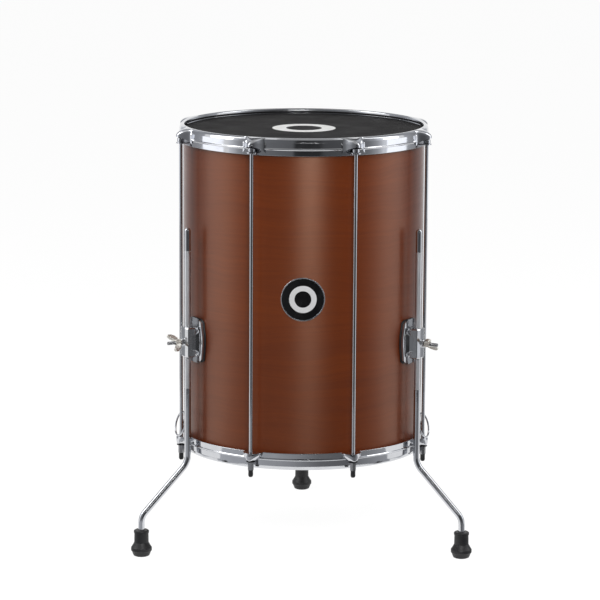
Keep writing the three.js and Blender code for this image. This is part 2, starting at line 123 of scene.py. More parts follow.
def spread(value, low, high, to_low=0.0, to_high=1.0):
    """A value moved from one range to another, held at its ends"""
    inputs = {0: value, 1: low, 2: high, 3: to_low, 4: to_high}
    return add_node(value.id_data, "MapRange", inputs, clamp=True).outputs[0]


def blended(share, first, second):
    """Two colours mixed by a share"""
    return add_node(share.id_data, "Mix", {0: share, 6: first, 7: second}, data_type="RGBA").outputs[2]


def object_place(tree):
    """The place on the object in its own frame"""
    return add_node(tree, "TexCoord").outputs["Object"]


def axes(vector):
    """The X, Y and Z of a vector"""
    return add_node(vector.id_data, "SeparateXYZ", {0: vector}).outputs


def seen_directly(tree):
    """One for rays from the camera, and for the ones that gloss and clear film send on"""
    path = add_node(tree, "LightPath").outputs
    seen = calc("MAXIMUM", path["Is Camera Ray"], path["Is Glossy Ray"])
    return calc("MAXIMUM", seen, path["Is Transmission Ray"])


white = (1, 1, 1, 1)
floor_reach = 30
floor_albedo = 0.2
floor_glow = 0.945
air_fill = 0.12

floor_paper, tree, shader = new_material("floor_paper")
fill(shader, {
    "Base Color": (floor_albedo, floor_albedo, floor_albedo, 1), "Roughness": 0.9, "Specular IOR Level": 0,
    "Emission Color": white, "Emission Strength": times(seen_directly(tree), floor_glow),
})
corners = [(x * floor_reach, y * floor_reach, 0) for x, y in ((-1, -1), (1, -1), (1, 1), (-1, 1))]
floor = mesh_object("floor", (corners, [(0, 1, 2, 3)]), floor_paper)

world = bpy.data.worlds.new("studio_air")
bpy.context.scene.world = world
world.use_nodes = True
tree = world.node_tree
tree.nodes.clear()
dim = add_node(tree, "Background", {"Color": white, "Strength": air_fill}).outputs[0]
bright = add_node(tree, "Background", {"Color": white, "Strength": 1}).outputs[0]
air = add_node(tree, "MixShader", {0: seen_directly(tree), 1: dim, 2: bright}).outputs[0]
add_node(tree, "OutputWorld", {"Surface": air})

screen_radius = 1.35
screen_wall = 1.1
ceiling_low, ceiling_high, ceiling_reflection_tone = 2.0, 2.25, 0.42
card_low, card_high, card_glow = 0.38, 0.78, 1.6
# Bearings from the front in degrees, with how bright the glowing sheet is there; these tones paint the reflections
# in the chrome
wall_reflection_tones = [(-180, 0.12), (-156, 0.14), (-149, 0.7), (-120, 0.3), (-98, 0.45), (-67, 0.85), (-58, 0.4),
              (-46, 0.22), (-16, 0.15), (-9, 0.14), (-7, 0.03), (13, 0.03), (17, 0.08), (34, 0.1), (57, 0.22),
              (66, 0.45), (73, 0.9), (104, 0.45), (120, 0.3), (149, 0.65), (156, 0.14), (180, 0.12)]
# Bearings and glow tones of the sheet that lies on the floor in front, which paints the reflections in the lower
# chrome
floor_reflection_tones = [(-72, 0.55), (-22, 0.42), (-2, 0.3), (14, 0.18), (34, 0.16), (76, 0.42)]


def reflection_glow_sheet(name, tones, glow=1.0):
    """A sheet that glows with its own tone, darker and lighter by bearing round the drum and even above it, to
    paint reflections
    """
    material, tree, shader = new_material(name)
    place = axes(object_place(tree))
    bearing = calc("ARCTAN2", place["X"], times(place["Y"], -1.0))
    ramp = add_node(tree, "ValToRGB", {0: plus(calc("DIVIDE", bearing, 2 * pi), 0.5)})
    for k, (degrees, tone) in enumerate(tones):
        share = degrees / 360 + 0.5
        stop = ramp.color_ramp.elements[k] if k < 2 else ramp.color_ramp.elements.new(share)
        stop.position = share
        stop.color = (tone * 0.98, tone, tone * 1.05, 1)
    lifted = spread(place["Z"], ceiling_low, ceiling_high)
    painted_reflection_tone = blended(lifted, ramp.outputs[0], (ceiling_reflection_tone, ceiling_reflection_tone, ceiling_reflection_tone, 1))
    fill(shader, {"Base Color": (0, 0, 0, 1), "Specular IOR Level": 0, "Emission Color": painted_reflection_tone,
                  "Emission Strength": glow})
    return material


def curved_over(top, steps=18):
    """The section of a screen that stands upright and then curves over the drum by a turn in degrees"""
    section = [(screen_radius, 0.002), (screen_radius, screen_wall)]
    for k in range(1, steps + 1):
        rise = radians(top * k / steps)
        section.append((screen_radius * cos(rise), screen_wall + screen_radius * sin(rise)))
    return section


def grid_faces(rows, columns):
    """The faces between the points of a grid"""
    return [(k, k + columns, k + columns + 1, k + 1) for row in range(rows - 1)
            for k in range(row * columns, row * columns + columns - 1)]


def screen(name, first, last, steps, cloth, section):
    """A glowing sheet round the drum between two bearings, from (radius, height) pairs, which only gloss can see,
    so that it shows only as a painted reflection
    """
    turns = [radians(first + (last - first) * k / steps) for k in range(steps + 1)]
    points = [polar(radius, turn, height) for turn in turns for radius, height in section]
    obj = mesh_object(name, (points, grid_faces(steps + 1, len(section))), cloth)
    obj.matrix_world = Matrix.Translation(drum_axis)
    obj.visible_camera = obj.visible_diffuse = obj.visible_shadow = False


# The walls, the floor sheet and the cards glow and show only in gloss: they are painted reflections, dark on the
# chrome's front and bright on its sides.
wall_reflection_glow = reflection_glow_sheet("wall_reflection_glow", wall_reflection_tones)
screen("front_reflection_screen", -67, 76, 40, wall_reflection_glow, curved_over(166))
screen("left_reflection_screen", -150, -99, 16, wall_reflection_glow, curved_over(90))
screen("right_reflection_screen", 101, 150, 16, wall_reflection_glow, curved_over(90))
floor_reflection_glow = reflection_glow_sheet("floor_reflection_glow", floor_reflection_tones)
screen("floor_reflection_sheet", -72, 76, 32, floor_reflection_glow, [(0.34, 0.0015), (screen_radius, 0.0015)])
# Cards that glow brighter than white and only gloss sees paint the bright reflections on the chrome's sides.
card_reflection_glow = reflection_glow_sheet("card_reflection_glow", [(-180, 1), (180, 1)], card_glow)
card = [(screen_radius, card_low), (screen_radius, card_high)]
screen("left_reflection_card", -99, -73, 8, card_reflection_glow, card)
screen("right_reflection_card", 76, 102, 8, card_reflection_glow, card)


def soft_box(name, bearing, rise, distance, size, radiance, aim=0.42):
    """An area lamp that faces the drum, at a bearing from the front and a rise above the floor, in degrees"""
    turn, lift = radians(bearing), radians(rise)
    back = polar(cos(lift), turn, sin(lift))
    lamp = bpy.data.lights.new(name, "AREA")
    lamp.shape = "RECTANGLE"
    lamp.size, lamp.size_y = size
    lamp.energy = radiance * pi * size[0] * size[1]
    obj = add_object(name, lamp)
    obj.location = drum_axis + Vector((0, 0, aim)) + back * distance
    obj.rotation_euler = (-back).to_track_quat("-Z", "Y").to_euler()
    obj.visible_camera = False
    return obj


soft_box("left_box", -80, 40, 2.5, (1.25, 1.7), 3.5, 0.5)
soft_box("right_box", 84, 40, 2.5, (1.15, 1.7), 2.3, 0.5)
soft_box("top_box", 8, 60, 2.5, (1.6, 1.6), 1.9).visible_glossy = False
soft_box("front_box", 6, 21, 1.8, (0.5, 0.34), 28, 0.5)

camera_distance = 4.992
camera_height = 1.3432
camera_pitch = 0.1848
camera_roll = 0.0062
camera_data = bpy.data.cameras.new("camera")
camera_data.sensor_width = 36
camera_data.lens = 178.3
camera_data.shift_x = -2.9 / 600
camera_data.clip_end = 100
camera = add_object("camera", camera_data)
tilt = Matrix.Rotation(pi / 2 - camera_pitch, 4, "X") @ Matrix.Rotation(camera_roll, 4, "Z")
camera.matrix_world = Matrix.Translation(drum_axis + Vector((0, -camera_distance, camera_height))) @ tilt
bpy.context.scene.camera = camera
bpy.context.scene.view_settings.view_transform = "Standard"

# ------------
# The shell. Thin plies bent and glued into a cylinder, with a bearing edge cut at each end. The outer veneer
# runs round the drum, is stained reddish brown and has a satin varnish. The inside is left pale and bare.
shell_radius = 0.2032
shell_inner = 0.1957
shell_rise = 0.1716
shell_top = 0.705
edge_flat = 0.0025
edge_slope = 0.005


def rounded(outline, steps=4):
    """The points of an outline of (across, up, corner radius), with each corner drawn round"""
    drawn = []
    for i, (across, up, radius) in enumerate(outline):
        here = Vector((across, up))
        if radius == 0:
            drawn.append(here)
            continue
        back = Vector(outline[i - 1][:2]) - here
        ahead = Vector(outline[(i + 1) % len(outline)][:2]) - here
        reach = min(radius / tan(back.angle(ahead) / 2), back.length * 0.49, ahead.length * 0.49)
        start = here + back.normalized() * reach
        end = here + ahead.normalized() * reach
        for k in range(steps + 1):
            share = k / steps
            drawn.append(start.lerp(here, share).lerp(here.lerp(end, share), share))
    return drawn


def turned(outline, steps):
    """Points and faces of an outline turned round Z. It closes on itself, or starts and ends on the axis"""
    drawn = rounded(outline)
    points, faces, rings = [], [], []
    for radius, height in drawn:
        if radius < 1e-7:
            rings.append([len(points)] * steps)
            points.append(Vector((0, 0, height)))
            continue
        rings.append(range(len(points), len(points) + steps))
        points += [polar(radius, 2 * pi * k / steps, height) for k in range(steps)]
    on_axis = drawn[0].x < 1e-7
    for low, high in zip(rings, rings[1:] + ([] if on_axis else rings[:1])):
        for k in range(steps):
            face = tuple(dict.fromkeys((low[k], low[(k + 1) % steps], high[(k + 1) % steps], high[k])))
            if len(face) > 2:
                faces.append(face)
    return points, faces


def stand(obj, bearing=0.0):
    """Sets a piece that was drawn at the front on the drum's axis, turned to its bearing in degrees"""
    obj.data.transform(Matrix.Rotation(radians(bearing), 4, "Z"))
    obj.matrix_world = Matrix.Translation(drum_axis)
    return obj


def fitted(obj, body, node):
    """Rides a piece on its body, weights its normals by face and hides the solid that it stands for"""
    flat_faces = obj.modifiers.new("flat_faces", "WEIGHTED_NORMAL")
    flat_faces.keep_sharp = True
    flat_faces.weight = 80
    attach(obj, body)
    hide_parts(node)


def shader_group(name, inputs, outputs):
    """A shader node group with named sockets, what its input node gives and its output node"""
    group = bpy.data.node_groups.new(name, "ShaderNodeTree")
    for way, sockets in (("INPUT", inputs), ("OUTPUT", outputs)):
        for label, kind in sockets.items():
            group.interface.new_socket(label, in_out=way, socket_type="NodeSocket" + kind)
    return group, group.nodes.new("NodeGroupInput").outputs, group.nodes.new("NodeGroupOutput")


def noise(vector, scale, detail=3, roughness=0.55, distortion=0.0):
    """A noise texture's value at a place"""
    inputs = {"Vector": vector, "Scale": scale, "Detail": detail, "Roughness": roughness, "Distortion": distortion}
    return add_node(vector.id_data, "TexNoise", inputs).outputs[0]


def bumped(height, distance):
    """A normal from a height, which reaches a distance in metres at 1"""
    inputs = {"Height": height, "Distance": distance, "Strength": 1.0}
    return add_node(height.id_data, "Bump", inputs).outputs[0]


def combined(x, y, z=0.0):
    """A vector from its X, Y and Z"""
    return add_node(x.id_data, "CombineXYZ", {0: x, 1: y, 2: z}).outputs[0]


veneer_grain, given, result = shader_group(
    "veneer_grain", {"Place": "Vector", "Length": "Float", "Fineness": "Float"},
    {"Figure": "Float", "Pores": "Float", "Clouds": "Float"},
)
tree, place, length, fineness = veneer_grain, given["Place"], given["Length"], given["Fineness"]
x, y, z = axes(place)
level = plus(z, times(noise(place, 5.0, 2), 0.05))
across, depth = times(x, length), times(y, length)
streaks = noise(combined(across, depth, times(level, fineness)), 1.0, 4, 0.6)
bands = noise(combined(across, depth, times(level, 34.0)), 1.0, 3, 0.5, 0.4)
short = times(length, 14.0)
pore_place = combined(times(x, short), times(y, short), times(level, times(fineness, 5.0)))
fill(result, {
    "Figure": spread(plus(times(streaks, 0.5), times(bands, 0.5)), 0.36, 0.64),
    "Pores": spread(noise(pore_place, 1.0, 2), 0.56, 0.74),
    "Clouds": spread(noise(place, 7.0, 3), 0.35, 0.65),
})


def grain_at(tree, length, fineness):
    """What the veneer grain group gives at a place on the object"""
    inputs = {"Place": object_place(tree), "Length": length, "Fineness": fineness}
    return add_node(tree, "Group", inputs, node_tree=veneer_grain).outputs


stained_wood, tree, shader = new_material("stained_wood")
grain = grain_at(tree, 3.0, 260.0)
stain = blended(grain["Figure"], (0.118, 0.0172, 0.0008, 1), (0.162, 0.0275, 0.0014, 1))
stain = blended(times(grain["Clouds"], 0.3), stain, (0.120, 0.0177, 0.0008, 1))
stain = blended(times(grain["Pores"], 0.4), stain, (0.060, 0.0110, 0.0020, 1))
relief = calc("SUBTRACT", times(grain["Figure"], 0.12), grain["Pores"])
fill(shader, {
    "Base Color": stain, "Roughness": spread(grain["Figure"], 0, 1, 0.41, 0.37),
    "Normal": bumped(relief, 0.00003), "IOR": 1.8, "Specular IOR Level": 0.5,
    "Specular Tint": (1.0, 0.66, 0.48, 1), "Anisotropic": 0.75, "Anisotropic Rotation": 0.25,
    "Coat Weight": 0.05, "Coat Roughness": 0.30,
})

bare_wood, tree, shader = new_material("bare_wood")
grain = grain_at(tree, 2.0, 180.0)
pale = blended(grain["Figure"], (0.42, 0.27, 0.145, 1), (0.58, 0.41, 0.25, 1))
pale = blended(times(grain["Pores"], 0.5), pale, (0.25, 0.15, 0.08, 1))
fill(shader, {"Base Color": pale, "Roughness": spread(grain["Figure"], 0, 1, 0.7, 0.6),
              "Normal": bumped(grain["Pores"], -0.00005)})

wall = [
    (shell_radius, shell_rise, 0.0006), (shell_radius, shell_top, 0.0006),
    (shell_radius - edge_flat, shell_top, 0.0008), (shell_inner, shell_top - edge_slope, 0.001),
    (shell_inner, shell_rise + edge_slope, 0.001), (shell_radius - edge_flat, shell_rise, 0.0008),
]
shell = stand(mesh_object("shell_wall", turned(wall, 240), stained_wood, bare_wood, sharp=25))
for face in shell.data.polygons:
    face.material_index = int(hypot(face.center.x, face.center.y) < shell_radius - 0.001)
fitted(shell, "drum", "shell")

# ------------
# The badge. A thin pressed plate pinned to the shell at the front: a bright rim round a field of black enamel.
# The field carries one plain pale ring and no mark.
badge_radius = 0.0364
badge_middle = 0.449
badge_rim_width = 0.0019
badge_base = 0.2035
badge_thickness = 0.0016
badge_field_rise = 0.0009
badge_ring_inner, badge_ring_outer = 0.0136, 0.0224


def ring_faces(rings, steps, closed=False):
    """The faces between neighbouring rings of points, also from the last to the first where they close"""
    faces = []
    for ring in range(rings if closed else rings - 1):
        near, far = ring * steps, (ring + 1) % rings * steps
        for k in range(steps):
            ahead = (k + 1) % steps
            faces.append((near + k, near + ahead, far + ahead, far + k))
    return faces


def on_shell(section, steps=96):
    """Points and faces of a round plate on the shell, from (radius, rise) pairs, about its own middle"""
    points = []
    for radius, rise in section:
        for k in range(steps):
            turn = 2 * pi * k / steps
            across = radius * sin(turn)
            distance = sqrt((badge_base + rise) ** 2 - across ** 2)
            points.append(Vector((across, badge_base - distance, radius * cos(turn))))
    return points, ring_faces(len(section), steps)


surface = {"Colour": "Color", "Roughness": "Float", "Normal": "Vector"}
handled_metal, given, result = shader_group("handled_metal", {
    "Tone": "Color", "Shade": "Color", "Polish": "Float", "Smudge": "Float", "Wave": "Float", "Scratch": "Float",
}, surface)
tree = handled_metal
place = object_place(tree)
thumb_marks = spread(noise(place, 150.0, 3, 0.6, 0.8), 0.52, 0.72)
marks = calc("MAXIMUM", spread(noise(place, 38.0, 4), 0.42, 0.68), times(thumb_marks, 0.6))
ripple = times(noise(place, 46.0, 1), given["Wave"])
scratch = times(noise(place, 1500.0, 2), given["Scratch"])
fill(result, {
    "Colour": blended(times(marks, 0.5), given["Tone"], given["Shade"]),
    "Roughness": plus(given["Polish"], times(marks, given["Smudge"])),
    "Normal": bumped(plus(ripple, scratch), 0.001),
})


def surfaced(name, group, inputs, metallic=0):
    """A material whose colour, roughness and normal come from a shader group"""
    material, tree, shader = new_material(name)
    look = add_node(tree, "Group", inputs, node_tree=group).outputs
    fill(shader, {"Base Color": look["Colour"], "Roughness": look["Roughness"], "Normal": look["Normal"],
                  "Metallic": metallic})
    return material


def metal(name, tone, shade, polish, smudge, wave, scratch):
    """A metal material with smudges, fine scratches and a faint waviness of the sheet"""
    inputs = {"Tone": (*tone, 1), "Shade": (*shade, 1), "Polish": polish, "Smudge": smudge, "Wave": wave,
              "Scratch": scratch}
    return surfaced(name, handled_metal, inputs, metallic=1)


def from_middle(across, along):
    """The distance of a place from the middle of its plane"""
    flat = combined(across, along)
    return add_node(flat.id_data, "VectorMath", {0: flat}, operation="LENGTH").outputs["Value"]


chrome = metal("chrome", (0.60, 0.61, 0.635), (0.52, 0.53, 0.55), 0.06, 0.07, 0.12, 0.004)

badge_enamel, tree, shader = new_material("badge_enamel")
place = object_place(tree)
x, y, z = axes(place)
middle = from_middle(x, z)
ring_mask = times(spread(middle, badge_ring_inner, badge_ring_inner + 0.0004),
                  spread(middle, badge_ring_outer, badge_ring_outer + 0.0004, 1, 0))
speck = noise(place, 900.0, 2)
black = blended(speck, (0.003, 0.003, 0.0035, 1), (0.006, 0.006, 0.007, 1))
pale = blended(speck, (0.70, 0.70, 0.71, 1), (0.80, 0.80, 0.81, 1))
fill(shader, {
    "Base Color": blended(ring_mask, black, pale),
    "Roughness": spread(noise(place, 60.0, 3), 0.3, 0.7, 0.16, 0.3),
    "Normal": bumped(plus(ring_mask, times(speck, 0.1)), 0.00006),
})

field_radius = badge_radius - badge_rim_width
field = [(radius, badge_field_rise)
         for radius in (0.0002, 0.009, 0.018, 0.026, field_radius, field_radius + 0.0006)]
rim = [(badge_radius, 0), (badge_radius, 0.0009), (badge_radius - 0.0002, 0.0013),
       (badge_radius - 0.0006, badge_thickness), (badge_radius - 0.0012, badge_thickness),
       (badge_radius - 0.0016, 0.0013), (field_radius, badge_field_rise), (field_radius, 0)]
badge_field = mesh_object("badge_field", on_shell(field), badge_enamel)
badge_rim = mesh_object("badge_rim", on_shell(rim), chrome, sharp=60)
for obj in (badge_field, badge_rim):
    obj.matrix_world = Matrix.Translation(drum_axis + Vector((0, -badge_base, badge_middle)))
    fitted(obj, "drum", "badge")

# ------------
# The heads. The batter head is a heavy black skin with a leathery pebble and a plain pale ring printed at its
# middle. The lower head is a thin milky film. Each is pulled over the shell's edge and folds down behind it.
skin_inner = 0.2035
skin_outer = 0.2043
skin_gap = 0.0003
skin_thickness = 0.0008
skin_skirt = 0.013
print_inner, print_outer, print_edge = 0.030, 0.0535, 0.0008


def head_outline(edge, side):
    """The section of a head over the shell's edge, which faces up for side 1 and down for side -1"""
    inside = edge + side * skin_gap
    outside = inside + side * skin_thickness
    low = edge - side * skin_skirt
    return [(0, inside, 0), (skin_inner * 0.5, inside, 0), (skin_inner, inside, 0.0018), (skin_inner, low, 0),
            (skin_outer, low, 0), (skin_outer, outside, 0.0026), (skin_outer * 0.93, outside, 0),
            (skin_outer * 0.5, outside, 0), (0, outside, 0)]


black_skin, tree, shader = new_material("black_skin")
place = object_place(tree)
pebble = add_node(tree, "TexVoronoi", {"Vector": place, "Scale": 520.0, "Randomness": 1.0},
                  feature="SMOOTH_F1").outputs["Distance"]
creases = noise(place, 240.0, 5, 0.65, 0.6)
mottle = noise(place, 22.0, 4)
skin = blended(spread(mottle, 0.3, 0.7), (0.0095, 0.0086, 0.0090, 1), (0.0150, 0.0137, 0.0142, 1))
skin = blended(spread(pebble, 0.1, 0.7), skin, (0.0065, 0.006, 0.0063, 1))
x, y, z = axes(place)
ragged = plus(from_middle(x, y), times(creases, 0.0006))
ring_mask = times(spread(ragged, print_inner, print_inner + print_edge),
                  spread(ragged, print_outer, print_outer + print_edge, 1, 0))
ring_mask = times(ring_mask, spread(z, shell_top + 0.0007, shell_top + 0.0009))
ink = blended(spread(creases, 0.35, 0.6), (0.86, 0.86, 0.845, 1), (0.94, 0.94, 0.93, 1))
fill(shader, {
    "Base Color": blended(ring_mask, skin, ink), "Roughness": spread(mottle, 0.3, 0.7, 0.58, 0.72),
    "Specular IOR Level": 0.08,
    "Normal": bumped(plus(pebble, times(creases, 0.7)), 0.00022),
})

clear_skin, tree, shader = new_material("clear_skin")
place = object_place(tree)
haze = spread(noise(place, 26.0, 4), 0.3, 0.7)
fill(shader, {
    "Base Color": blended(haze, (0.72, 0.71, 0.67, 1), (0.80, 0.79, 0.76, 1)),
    "Roughness": spread(haze, 0, 1, 0.32, 0.46),
    "Normal": bumped(noise(place, 700.0, 3), 0.00003),
})

batter = stand(mesh_object("batter_skin", turned(head_outline(shell_top, 1), 240), black_skin, sharp=50))
fitted(batter, "drum", "batter_head")
film = stand(mesh_object("lower_film", turned(head_outline(shell_rise, -1), 240), clear_skin, sharp=50))
fitted(film, "drum", "resonant_head")

# ------------
# The flesh hoops. A steel ring of nearly square section is locked round the edge of each head, and the hoop's
# ledge presses on it. They are plain zinc-plated steel.
flesh_inner = 0.2046
flesh_outer = 0.2090
flesh_drop = 0.007
flesh_height = 0.008
flesh_corner = 0.0012

dull_steel = metal("dull_steel", (0.36, 0.36, 0.37), (0.27, 0.27, 0.275), 0.26, 0.16, 0.05, 0.02)
for name, node, edge, side in (("upper_flesh_ring", "batter_flesh_hoop", shell_top, 1),
                               ("lower_flesh_ring", "resonant_flesh_hoop", shell_rise, -1)):
    near = edge - side * flesh_drop
    far = near - side * flesh_height
    section = [(flesh_inner, near, flesh_corner), (flesh_outer, near, flesh_corner),
               (flesh_outer, far, flesh_corner), (flesh_inner, far, flesh_corner)]
    fitted(stand(mesh_object(name, turned(section, 180), dull_steel)), "drum", node)

# ------------
# The hoops. Each is rolled from 1.8 mm steel and chromed: a straight skirt, a bead where it bears on the flesh
# hoop and a band that leans in to a rolled rim. Eight pressed ears are welded on. An upper ear is a hood,
# open below, with a tongue for the head of its rod. A lower ear is a cup that narrows to the seat of the nut.
hoop_sheet = 0.0018
hoop_rise = 0.010
hoop_skirt = 0.019
hoop_lean = 0.0049
skirt_inner = 0.2093
skirt_outer = skirt_inner + hoop_sheet
ledge_height = -0.0067
ledge_depth = 0.0031
bead_proud = 0.0011
bead_half = 0.0014
rod_circle = skirt_outer + 0.0104
rods = {number: 22.5 + 45 * (number - 1) for number in range(1, 9)}


def hoop_section(edge, side):
    """The hoop's section, upright for the top hoop and upside down for the bottom one"""
    bead = ledge_height - bead_half
    proud = skirt_outer + bead_proud
    rim_out = skirt_outer - hoop_lean
    rim_in = rim_out - hoop_sheet
    ledge = skirt_inner - ledge_depth
    shape = [
        (skirt_inner, -hoop_skirt, 0.0006), (skirt_outer, -hoop_skirt, 0.0008),
        (skirt_outer, bead - bead_half * 1.3, 0.0004), (proud, bead - bead_half * 0.35, 0.0007),
        (proud, bead + bead_half * 0.35, 0.0007), (skirt_outer - 0.0002, bead + bead_half * 1.3, 0.0006),
        (skirt_outer - 0.0006, 0.0028, 0.004), (skirt_outer - 0.0022, 0.0072, 0.003),
        (rim_out - 0.0002, 0.0098, 0.002), (rim_in - 0.0006, hoop_rise, 0.002),
        (rim_in - 0.0022, 0.0086, 0.002), (rim_in - 0.0028, 0.0054, 0.002),
        (rim_in - 0.0021, 0.0024, 0.001), (rim_in - 0.0012, 0.0022, 0.0004),
        (rim_in - 0.0008, 0.0070, 0.001), (skirt_inner - 0.0028, 0.0062, 0.002),
        (skirt_inner - 0.0011, 0.0014, 0.003), (ledge, ledge_height + hoop_sheet, 0.0004),
        (ledge, ledge_height, 0.0004), (skirt_inner, ledge_height, 0.0004),
    ]
    return [(radius, edge + side * height, corner) for radius, height, corner in shape]


def together(*parts):
    """Several parts of points and faces as one"""
    points, faces = [], []
    for part_points, part_faces in parts:
        first = len(points)
        points.extend(part_points)
        faces.extend(tuple(corner + first for corner in face) for face in part_faces)
    return points, faces


def moved(part, matrix):
    """A part with its points moved by a matrix"""
    return [matrix @ point for point in part[0]], part[1]


def lofted(rings):
    """A closed solid through rings of points that match one for one"""
    steps = len(rings[0])
    points = [point for ring in rings for point in ring]
    ends = [tuple(range(steps - 1, -1, -1)), tuple(range(len(points) - steps, len(points)))]
    return points, ends + ring_faces(len(rings), steps)


def finished(part, cut=None, bevel=0.0, segments=3, angle=30):
    """A part after another part is cut from it or its sharp edges are rounded"""
    used = [mesh_object("blank", part)]
    obj = used[0]
    if cut:
        used.append(mesh_object("cutter", cut))
        cutting = obj.modifiers.new("cut", "BOOLEAN")
        cutting.operation = "DIFFERENCE"
        cutting.solver = "EXACT"
        cutting.object = used[1]
    if bevel:
        rounding = obj.modifiers.new("rounding", "BEVEL")
        rounding.width = bevel
        rounding.segments = segments
        rounding.limit_method = "ANGLE"
        rounding.angle_limit = radians(angle)
    bpy.context.view_layer.update()
    shape = obj.evaluated_get(bpy.context.evaluated_depsgraph_get()).to_mesh()
    points = [vertex.co.copy() for vertex in shape.vertices]
    faces = [tuple(face.vertices) for face in shape.polygons]
    for spent in used:
        bpy.data.objects.remove(spent)
    return points, faces


ear_low = shell_top - 0.0163
ear_lip = shell_top - 0.0038
ear_crown = shell_top + 0.0098
ear_half = 0.021
ear_proud = 0.0185
hood_sheet = 0.0022
hood_columns, hood_rows = 40, 18
opening_curve = 0.4


def hood_surface(inset):
    """A grid over the hood, from its opening's edge up to the hoop's rim, set in by a thickness"""
    grid = []
    for row in range(hood_rows + 1):
        for column in range(hood_columns + 1):
            aside = ear_half * (2 * column / hood_columns - 1)
            share = (1 + cos(pi * aside / ear_half)) / 2
            low = ear_low + (ear_lip - ear_low) * share ** opening_curve
            height = low + (ear_crown - low) * (1 - (1 - row / hood_rows) ** 2)
            rise = min(1.0, max(0.0, (height - ear_lip) / (ear_crown - ear_lip)))
            proud = ear_proud * share * (1 - rise ** 3) ** 0.5 - inset
            lean = hoop_lean * max(0.0, (height - shell_top) / hoop_rise)
            radius = skirt_outer - lean + max(proud, -hoop_sheet / 2)
            grid.append(polar(radius, aside / skirt_outer, height))
    return grid


def hood():
    """A closed hood between its outer and its inner surface"""
    across, layer = hood_columns + 1, (hood_columns + 1) * (hood_rows + 1)
    faces = grid_faces(hood_rows + 1, across)
    faces += [tuple(corner + layer for corner in face) for face in faces]
    edge = list(range(across)) + [row * across + hood_columns for row in range(1, hood_rows + 1)]
    edge += [hood_rows * across + column for column in range(hood_columns - 1, -1, -1)]
    edge += [row * across for row in range(hood_rows - 1, 0, -1)]
    faces += [(a, b, b + layer, a + layer) for a, b in zip(edge, edge[1:] + edge[:1])]
    return hood_surface(0) + hood_surface(hood_sheet), faces


def half_round(wide, root, reach, height, steps):
    """Points of a half ellipse that stands out from a distance of its root, at one height"""
    turns = [pi * k / steps for k in range(steps + 1)]
    return [Vector((wide * cos(turn), -root - reach * sin(turn), height)) for turn in turns]


rod_seat = shell_top - 0.0128
tongue_half = 0.0088
tongue_reach = 0.0075
tongue_sheet = 0.0024
tongue_root = skirt_inner + 0.001
tongue = finished(lofted([
    half_round(tongue_half, rod_circle, tongue_reach, height, 16)
    + [Vector((side * tongue_half, -tongue_root, height)) for side in (-1, 1)]
    for height in (rod_seat - tongue_sheet, rod_seat)
]), bevel=0.0006, segments=2)
upper_ear = together(hood(), tongue)

ear_top = shell_rise + hoop_skirt
ear_depth = 0.0134
ear_floor = ear_top - ear_depth
ear_root = skirt_inner + hoop_sheet / 2
# Rows of the cup: height above its floor, half its width, how far it stands out past the rod's circle
cup = [(0, 0.0076, 0.0066), (0.0006, 0.0084, 0.0074), (0.0024, 0.0108, 0.0080), (0.0048, 0.0136, 0.0084),
       (0.0074, 0.0158, 0.0085), (0.0100, 0.0170, 0.0083), (0.0120, 0.0173, 0.0080), (0.0130, 0.0169, 0.0076),
       (ear_depth, 0.0162, 0.0069)]
lower_ear = lofted([half_round(wide, ear_root, rod_circle + out - ear_root, ear_floor + height, 24)
                    for height, wide, out in cup])

for name, node, edge, side, ear in (("top_hoop_and_ears", "top_hoop", shell_top, 1, upper_ear),
                                    ("bottom_hoop_and_ears", "bottom_hoop", shell_rise, -1, lower_ear)):
    ears = [moved(ear, Matrix.Rotation(radians(bearing), 4, "Z")) for bearing in rods.values()]
    part = together(turned(hoop_section(edge, side), 288), *ears)
    fitted(stand(mesh_object(name, part, chrome, sharp=38)), "drum", node)

# ------------
# The tension rods. Eight chromed steel rods run from the upper ears, where their round heads sit, down through
# the lower ears. Each ends in a thread for its nut.
rod_radius = 0.003
rod_end = 0.1522
rod_head = 0.006
rod_head_low = rod_seat + 0.0003
rod_head_high = rod_head_low + 0.0086
thread_radius = 0.0029
thread_top = 0.186


def at_front(part, distance, height=0.0):
    """A part moved to a distance in front of the drum's axis"""
    return moved(part, Matrix.Translation((0, -distance, height)))


def set_round(first, places, name, body, node):
    """Puts copies of a piece that was drawn at the front at the bearings of its places"""
    mesh = first.data
    bpy.data.objects.remove(first)
    for place, bearing in places.items():
        obj = stand(add_object(name.format(place), mesh.copy()), bearing)
        fitted(obj, body.format(place), node.format(place))


rod_section = [
    (0, rod_end, 0), (0.0024, rod_end, 0.0004), (thread_radius, rod_end + 0.0008, 0.0002),
    (thread_radius, thread_top, 0.0002), (rod_radius, thread_top + 0.0004, 0.0002),
    (rod_radius, rod_head_low, 0.0004), (rod_head * 0.86, rod_head_low, 0.0006),
    (rod_head, rod_head_low + 0.0008, 0.0008), (rod_head, rod_head_high - 0.0032, 0.0016),
    (rod_head * 0.62, rod_head_high - 0.0006, 0.0014), (0, rod_head_high, 0),
]
first_rod = mesh_object("tension_rod", at_front(turned(rod_section, 32), rod_circle), chrome)
set_round(first_rod, rods, "chrome_rod_{}", "drum", "tension_rod_{}")

# ------------
# The tension nuts. Each is a long hexagon nut of grey plated steel with chamfered ends, screwed up the rod's
# thread against a dark washer under the lower ear.
nut_across = 0.0092
nut_length = 0.0136
nut_bore = 0.0034
nut_chamfer = 0.0007
washer_thickness = 0.0015
washer_radius = 0.0076
washer_top = ear_floor - 0.0003
washer_low = washer_top - washer_thickness
nut_bottom = washer_low - nut_length


